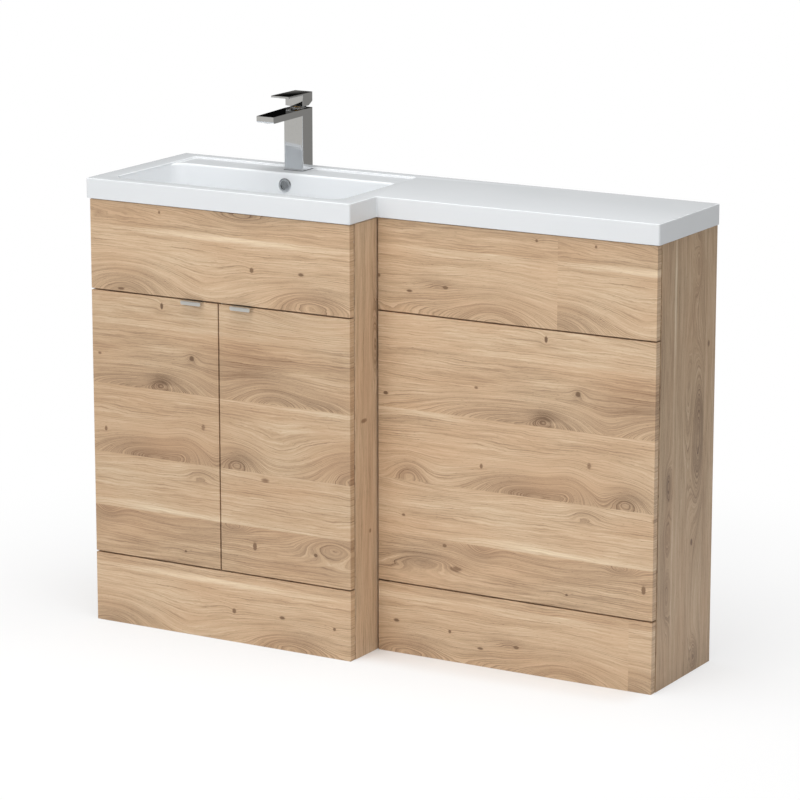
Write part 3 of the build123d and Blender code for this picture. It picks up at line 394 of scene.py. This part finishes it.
# Sealant: a white silicone bead between the basin top and the gables, slightly uneven and rubbery.
def sealant_material():
    material, field = start_material("sealant")
    x, y, z = place(field)
    smear = noise(field, x / 12.0, y / 12.0, z / 3.0, 2.0)
    colour = mixed(field, smear * 0.5 + 0.5, rgb(206, 206, 202), rgb(222, 222, 219))
    finish_material(field, {"Specular IOR Level": 0.4},
                    {"Base Color": colour, "Roughness": smear * 0.05 + 0.45,
                     "Normal": bump(field, smear, 0.4, 0.0004)})
    return material


dress(["bedding_sealant"], sealant_material())


# Tap: cast brass with polished chrome plate. Body with its flat spout, base ring, neck and the lever above.
def chrome(name, colour, rough):
    material, field = start_material(name)
    x, y, z = place(field)
    wave = noise(field, x / 30.0, y / 30.0, z / 30.0, 1.0)
    haze = noise(field, x / 6.0, y / 6.0, z / 6.0, 3.0, 0.7)
    scratch = noise(field, (x + z) / 14.0, (y - z) / 0.6, 3.0, 1.0)
    finish = mixed(field, haze * 0.5 + 0.5, colour, rgb(214, 216, 218))
    roughness = rough + haze * 0.012 + scratch.math("MAXIMUM", scratch - 0.3, 0.0) * 0.06
    finish_material(field, {"Metallic": 1.0},
                    {"Base Color": finish, "Roughness": roughness,
                     "Normal": bump(field, wave + scratch * 0.02, 0.05, 0.0004)})
    return material


tap_chrome = chrome("tap_chrome", rgb(222, 223, 225), 0.045)
for name, body in (("tap_body", "cabinet"), ("tap_base", "cabinet"), ("tap_neck", "cabinet"),
                   ("tap_lever", "tap_lever")):
    take_over(smooth_copy(name + "_plated", [name], 25), body, [name], tap_chrome)


# Brass pieces inside and under the tap: turned, with fine rings and a slight tarnish.
def brass():
    material, field = start_material("tap_brass")
    x, y, z = place(field)
    turned = noise(field, z / 0.5, x / 40.0, y / 40.0, 2.0)
    tarnish = noise(field, x / 7.0, y / 7.0, z / 7.0, 3.0)
    colour = mixed(field, tarnish * 0.5 + 0.5, rgb(196, 162, 92), rgb(158, 126, 70))
    finish_material(field, {"Metallic": 1.0},
                    {"Base Color": colour, "Roughness": tarnish * 0.08 + 0.3,
                     "Normal": bump(field, turned, 0.3, 0.0001)})
    return material


tap_brass = brass()
for name, body in (("tap_spindle", "tap_swivel"), ("lever_pin", "tap_lever"), ("tap_fixings", "cabinet")):
    take_over(smooth_copy(name + "_turned", [name], 30), body, [name], tap_brass)


# Moulded plastic pieces: aerator insert, tap cartridge, overflow duct, backnut, panel clips and door bumpers.
def plastic(name, light, dark, rough):
    material, field = start_material(name)
    x, y, z = place(field)
    flow = noise(field, x / 16.0, y / 16.0, z / 40.0, 3.0)
    texture = noise(field, x / 0.8, y / 0.8, z / 0.8, 2.0)
    colour = mixed(field, flow * 0.5 + 0.5, light, dark)
    finish_material(field, {"Specular IOR Level": 0.45},
                    {"Base Color": colour, "Roughness": flow * 0.05 + rough,
                     "Normal": bump(field, texture, 0.25, 0.0001)})
    return material


for name, slot, light, dark, rough in (
        ("tap_aerator", "aerator_plastic", rgb(196, 198, 200), rgb(180, 182, 184), 0.35),
        ("tap_cartridge", "cartridge_plastic", rgb(226, 226, 222), rgb(208, 208, 204), 0.4),
        ("overflow_duct", "duct_plastic", rgb(224, 224, 220), rgb(206, 206, 202), 0.42),
        ("waste_backnut", "backnut_plastic", rgb(226, 226, 224), rgb(208, 208, 206), 0.4)):
    take_over(smooth_copy(name + "_moulded", [name], 28), "cabinet", [name],
              plastic(slot, light, dark, rough))
clip_plastic = plastic("clip_plastic", rgb(222, 222, 218), rgb(204, 204, 200), 0.4)
for name in ("vanity_panel_clips", "wc_panel_clips"):
    take_over(smooth_copy(name + "_moulded", [name], 28), "cabinet", [name], clip_plastic)
bumper_plastic = plastic("bumper_plastic", rgb(214, 214, 212), rgb(190, 190, 188), 0.3)
for side in ("left", "right"):
    take_over(smooth_copy("door_bumpers_%s_moulded" % side, ["door_bumpers_" + side], 28), "door_" + side,
              ["door_bumpers_" + side], bumper_plastic)


# Waste and overflow trim: chromed brass in the bowl, a little duller than the tap from water marks.
def marked_chrome(name):
    material, field = start_material(name)
    x, y, z = place(field)
    haze = noise(field, x / 5.0, y / 5.0, z / 5.0, 3.0)
    turned = noise(field, z / 0.6, x / 60.0, y / 60.0, 1.0)
    colour = mixed(field, haze * 0.5 + 0.5, rgb(206, 208, 210), rgb(188, 190, 192))
    finish_material(field, {"Metallic": 1.0},
                    {"Base Color": colour, "Roughness": haze * 0.04 + 0.12,
                     "Normal": bump(field, turned, 0.08, 0.0001)})
    return material


waste_chrome = marked_chrome("waste_chrome")
take_over(smooth_copy("waste_body_plated", ["waste_body"], 28), "cabinet", ["waste_body"],
          waste_chrome)
take_over(smooth_copy("waste_plug_plated", ["waste_plug"], 28), "waste_plug", ["waste_plug"],
          waste_chrome)
take_over(smooth_copy("overflow_ring_plated", ["overflow_ring"], 28), "cabinet", ["overflow_ring"],
          marked_chrome("overflow_chrome"))


# Rubber seal under the bowl: matt black with a dusty bloom.
def rubber():
    material, field = start_material("seal_rubber")
    x, y, z = place(field)
    bloom = noise(field, x / 4.0, y / 4.0, z / 4.0, 3.0)
    colour = mixed(field, bloom * 0.5 + 0.5, rgb(34, 34, 34), rgb(58, 57, 55))
    finish_material(field, {"Specular IOR Level": 0.3},
                    {"Base Color": colour, "Roughness": bloom * 0.08 + 0.75,
                     "Normal": bump(field, bloom, 0.3, 0.0002)})
    return material


take_over(smooth_copy("waste_seal_rubber", ["waste_seal"], 30), "cabinet", ["waste_seal"],
          rubber())


# Handles: edge pulls bent from thin steel sheet, satin plated, with the polish lines along the lip.
def satin_steel():
    material, field = start_material("handle_metal")
    x, y, z = place(field)
    brushed = noise(field, x / 18.0, y / 0.25, z / 0.25, 2.0)
    haze = noise(field, x / 9.0, y / 5.0, z / 5.0, 3.0)
    colour = mixed(field, haze * 0.5 + 0.5, rgb(240, 240, 238), rgb(230, 231, 230))
    finish_material(field, {"Metallic": 1.0},
                    {"Base Color": colour, "Roughness": brushed * 0.06 + haze * 0.03 + 0.3,
                     "Normal": bump(field, brushed, 0.15, 0.0001)})
    return material


handle_metal = satin_steel()
for side in ("left", "right"):
    take_over(smooth_copy("handle_%s_plated" % side, ["handle_" + side], 28), "door_" + side,
              ["handle_" + side], handle_metal)


# Hinges: pressed steel with nickel plate. Screws, bolts and shelf pins: zinc-plated steel, duller.
def plated_steel(name, light, dark, rough):
    material, field = start_material(name)
    x, y, z = place(field)
    spangle = field.node("ShaderNodeTexVoronoi", {"feature": "F1"},
                         {"Vector": joined(field, x / 2.5, y / 2.5, z / 2.5), "Scale": 1.0}, "Distance")
    haze = noise(field, x / 6.0, y / 6.0, z / 6.0, 3.0)
    colour = mixed(field, haze * 0.4 + spangle * 0.5, light, dark)
    finish_material(field, {"Metallic": 1.0},
                    {"Base Color": colour, "Roughness": haze * 0.05 + spangle * 0.08 + rough,
                     "Normal": bump(field, haze, 0.15, 0.0001)})
    return material


hinge_steel = plated_steel("hinge_steel", rgb(206, 206, 202), rgb(182, 182, 178), 0.22)
screw_steel = plated_steel("screw_steel", rgb(196, 196, 190), rgb(166, 166, 160), 0.3)
bolt_steel = plated_steel("joining_bolt_steel", rgb(196, 196, 190), rgb(166, 166, 160), 0.3)
pin_steel = plated_steel("shelf_pin_steel", rgb(202, 202, 198), rgb(172, 172, 168), 0.28)
metal_pieces = [("hinge_arms", "cabinet", "hinge_steel", hinge_steel),
                ("hinge_arm_pins", "cabinet", "hinge_steel", hinge_steel),
                ("hinge_plates", "cabinet", "hinge_steel", hinge_steel),
                ("hinge_plate_screws", "cabinet", "screw_steel", screw_steel),
                ("joining_bolts", "cabinet", "joining_bolt_steel", bolt_steel),
                ("shelf_pins", "cabinet", "shelf_pin_steel", pin_steel)]
for side in ("left", "right"):
    metal_pieces += [("hinge_links_" + side, "hinge_link_" + side, "hinge_steel", hinge_steel),
                     ("hinge_cups_" + side, "door_" + side, "hinge_steel", hinge_steel),
                     ("hinge_cup_screws_" + side, "door_" + side, "screw_steel", screw_steel),
                     ("handle_screws_" + side, "door_" + side, "screw_steel", screw_steel)]
for name, body, slot, material in metal_pieces:
    take_over(smooth_copy(name + "_plated", [name], 28), body, [name], material)


# Dowels: ribbed beech, hidden in the joints of the carcass.
def beech():
    material, field = start_material("beech_dowel")
    x, y, z = place(field)
    fleck = noise(field, x / 3.0, y / 0.5, z / 0.5, 3.0)
    grain = noise(field, x / 25.0, y / 1.5, z / 1.5, 3.0)
    colour = mixed(field, grain * 0.5 + 0.5, rgb(206, 172, 132), rgb(182, 146, 106))
    colour = mixed(field, fleck.math("GREATER_THAN", fleck, 0.4) * 0.3, colour, rgb(150, 112, 78))
    finish_material(field, {"Specular IOR Level": 0.3},
                    {"Base Color": colour, "Roughness": grain * 0.05 + 0.6,
                     "Normal": bump(field, grain, 0.3, 0.0002)})
    return material


take_over(smooth_copy("carcass_dowels_beech", ["carcass_dowels"], 30), "cabinet", ["carcass_dowels"],
          beech())


# Studio floor: a white sweep. Near the unit it keeps a soft shadow, and further off it fades to the plain white
# that the camera sees. Metal sees it white close by, and beyond that the greys of the studio, paler in front.
def studio_floor():
    size = 14.0
    shadow_reach, all_white = 650.0, 1500.0
    mirror_front, mirror_back = 0.60, 0.27
    mesh = bpy.data.meshes.new("studio_floor")
    mesh.from_pydata([(-size, -size, 0.0), (size, -size, 0.0), (size, size, 0.0), (-size, size, 0.0)], [],
                     [(0, 1, 2, 3)])
    floor = bpy.data.objects.new("studio_floor", mesh)
    bpy.context.scene.collection.objects.link(floor)
    material, field = start_material("studio_floor")
    x, y, z = place(field)
    dust = noise(field, x / 300.0, y / 300.0, 0.0, 2.0)
    colour = mixed(field, dust * 0.5 + 0.5, rgb(240, 240, 240), rgb(244, 244, 244))
    paper = field.node("ShaderNodeBsdfPrincipled", {}, {"Base Color": colour, "Roughness": 0.8,
                                                        "Specular IOR Level": 0.0})
    glow = field.node("ShaderNodeEmission", {}, {"Color": (1.0, 1.0, 1.0, 1.0), "Strength": 1.0})
    far = field.math("SQRT", x * x + y * y)
    spread = field.node("ShaderNodeMapRange", {"interpolation_type": "SMOOTHSTEP"},
                        {0: far, 1: shadow_reach, 2: all_white, 3: 0.60, 4: 1.0})
    # Painted shade: under the unit's footprint the floor loses its white glow, so it shows darker there,
    # deepening the shadow that the lamps cast.
    shade_under_x = field.node("ShaderNodeMapRange", {"interpolation_type": "SMOOTHSTEP"},
                         {0: x.math("ABSOLUTE", x), 1: 540.0, 2: 620.0, 3: 1.0, 4: 0.0})
    shade_under_y = field.node("ShaderNodeMapRange", {"interpolation_type": "SMOOTHSTEP"},
                         {0: y.math("ABSOLUTE", y), 1: 110.0, 2: 180.0, 3: 1.0, 4: 0.0})
    spread = spread * (1.0 - shade_under_x * shade_under_y * 0.95)
    camera_ray = field.node("ShaderNodeLightPath", {}, {}, "Is Camera Ray")
    glossy_ray = field.node("ShaderNodeLightPath", {}, {}, "Is Glossy Ray")
    clear_ray = field.node("ShaderNodeLightPath", {}, {}, "Is Transmission Ray")
    near = field.node("ShaderNodeMapRange", {"interpolation_type": "SMOOTHSTEP"},
                      {0: far, 1: 1500.0, 2: 2600.0, 3: 1.0, 4: 0.0})
    seen = camera_ray + (glossy_ray + clear_ray) * near
    tone = field.node("ShaderNodeMapRange", {"interpolation_type": "SMOOTHSTEP"},
                      {0: y, 1: -1500.0, 2: 1500.0, 3: mirror_front, 4: mirror_back})
    grey = joined(field, tone, tone * 0.97, tone * 0.91)
    mirror = field.node("ShaderNodeEmission", {}, {"Color": grey, "Strength": 1.0})
    white = field.node("ShaderNodeMixShader", {}, {0: spread * seen, 1: paper, 2: glow})
    far_mirror = (glossy_ray + clear_ray) * (1.0 - near)
    white = field.node("ShaderNodeMixShader", {}, {0: far_mirror, 1: white, 2: mirror})
    field.node("ShaderNodeOutputMaterial", {}, {"Surface": white}, None)
    mesh.materials.append(material)


studio_floor()


# Light: a broad soft key in front, a softer lamp overhead, and a pale room around. Metal sees the room in greys,
# with a dark band low down behind the unit, which is what blackens the level faces of the tap.
def area_lamp(name, spot, aim, size, power):
    light = bpy.data.lights.new(name, "AREA")
    light.shape = "SQUARE"
    light.size = size
    light.energy = power
    lamp = bpy.data.objects.new(name, light)
    lamp.visible_glossy = False
    lamp.location = spot
    lamp.rotation_euler = (Vector(aim) - Vector(spot)).to_track_quat("-Z", "Y").to_euler()
    bpy.context.scene.collection.objects.link(lamp)


def room_light():
    """The camera sees white, metal sees greys by direction, and everything else takes an even soft fill."""
    world = bpy.data.worlds.new("room")
    bpy.context.scene.world = world
    world.use_nodes = True
    world.node_tree.nodes.clear()
    field = Field(world.node_tree)
    aim = field.node("ShaderNodeTexCoord", {}, {}, "Generated")
    forward = field.node("ShaderNodeSeparateXYZ", {}, {0: aim}, 1)
    upward = field.node("ShaderNodeSeparateXYZ", {}, {0: aim}, 2)
    sides = field.node("ShaderNodeMapRange", {}, {0: forward, 1: -0.6, 2: 0.6, 3: 0.60, 4: 0.27})
    height = field.node("ShaderNodeMapRange", {"interpolation_type": "SMOOTHSTEP"},
                        {0: upward, 1: -0.02, 2: 0.18, 3: 1.0, 4: 0.01})
    zenith = field.node("ShaderNodeMapRange", {"interpolation_type": "SMOOTHSTEP"},
                        {0: upward, 1: 0.40, 2: 0.75, 3: 0.0, 4: 0.5})
    tone = sides * height + zenith
    grey = joined(field, tone, tone * 0.97, tone * 0.91)
    camera_ray = field.node("ShaderNodeLightPath", {}, {}, "Is Camera Ray")
    glossy_ray = field.node("ShaderNodeLightPath", {}, {}, "Is Glossy Ray")
    fill = field.node("ShaderNodeBackground", {}, {"Color": (0.985, 0.99, 1.0, 1.0), "Strength": 0.40})
    mirror = field.node("ShaderNodeBackground", {}, {"Color": grey, "Strength": 1.0})
    white = field.node("ShaderNodeBackground", {}, {"Color": (1.0, 1.0, 1.0, 1.0), "Strength": 1.0})
    blend = field.node("ShaderNodeMixShader", {}, {0: glossy_ray, 1: fill, 2: mirror})
    blend = field.node("ShaderNodeMixShader", {}, {0: camera_ray, 1: blend, 2: white})
    field.node("ShaderNodeOutputWorld", {}, {"Surface": blend}, None)


lamp_size = 3.0
key_watts = 70.0
top_watts = 134.0
area_lamp("key_light", (-0.6, -4.7, 2.4), (0.0, 0.0, 0.5), lamp_size, key_watts)
area_lamp("top_light", (0.2, -0.6, 4.2), (0.0, 0.0, 0.8), lamp_size, top_watts)
room_light()


# Camera: a long lens, 30 degrees round to the right of the unit's front and 13 degrees above it.
def camera():
    data = bpy.data.cameras.new("camera")
    data.sensor_width = 36.0
    data.lens = 164.63
    data.clip_end = 100.0
    body = bpy.data.objects.new("camera", data)
    yaw = math.radians(30.053)
    pitch = math.radians(12.976)
    spot = Vector((3.5080, -6.0457, 2.1008))
    forward = Vector((-math.sin(yaw) * math.cos(pitch), math.cos(yaw) * math.cos(pitch), -math.sin(pitch)))
    side = Vector((math.cos(yaw), math.sin(yaw), 0.0))
    upward = side.cross(forward)
    turn = Matrix((side, upward, -forward)).transposed().to_4x4()
    body.matrix_world = Matrix.Translation(spot) @ turn
    bpy.context.scene.collection.objects.link(body)
    bpy.context.scene.camera = body


camera()
bpy.context.scene.view_settings.view_transform = "Standard"
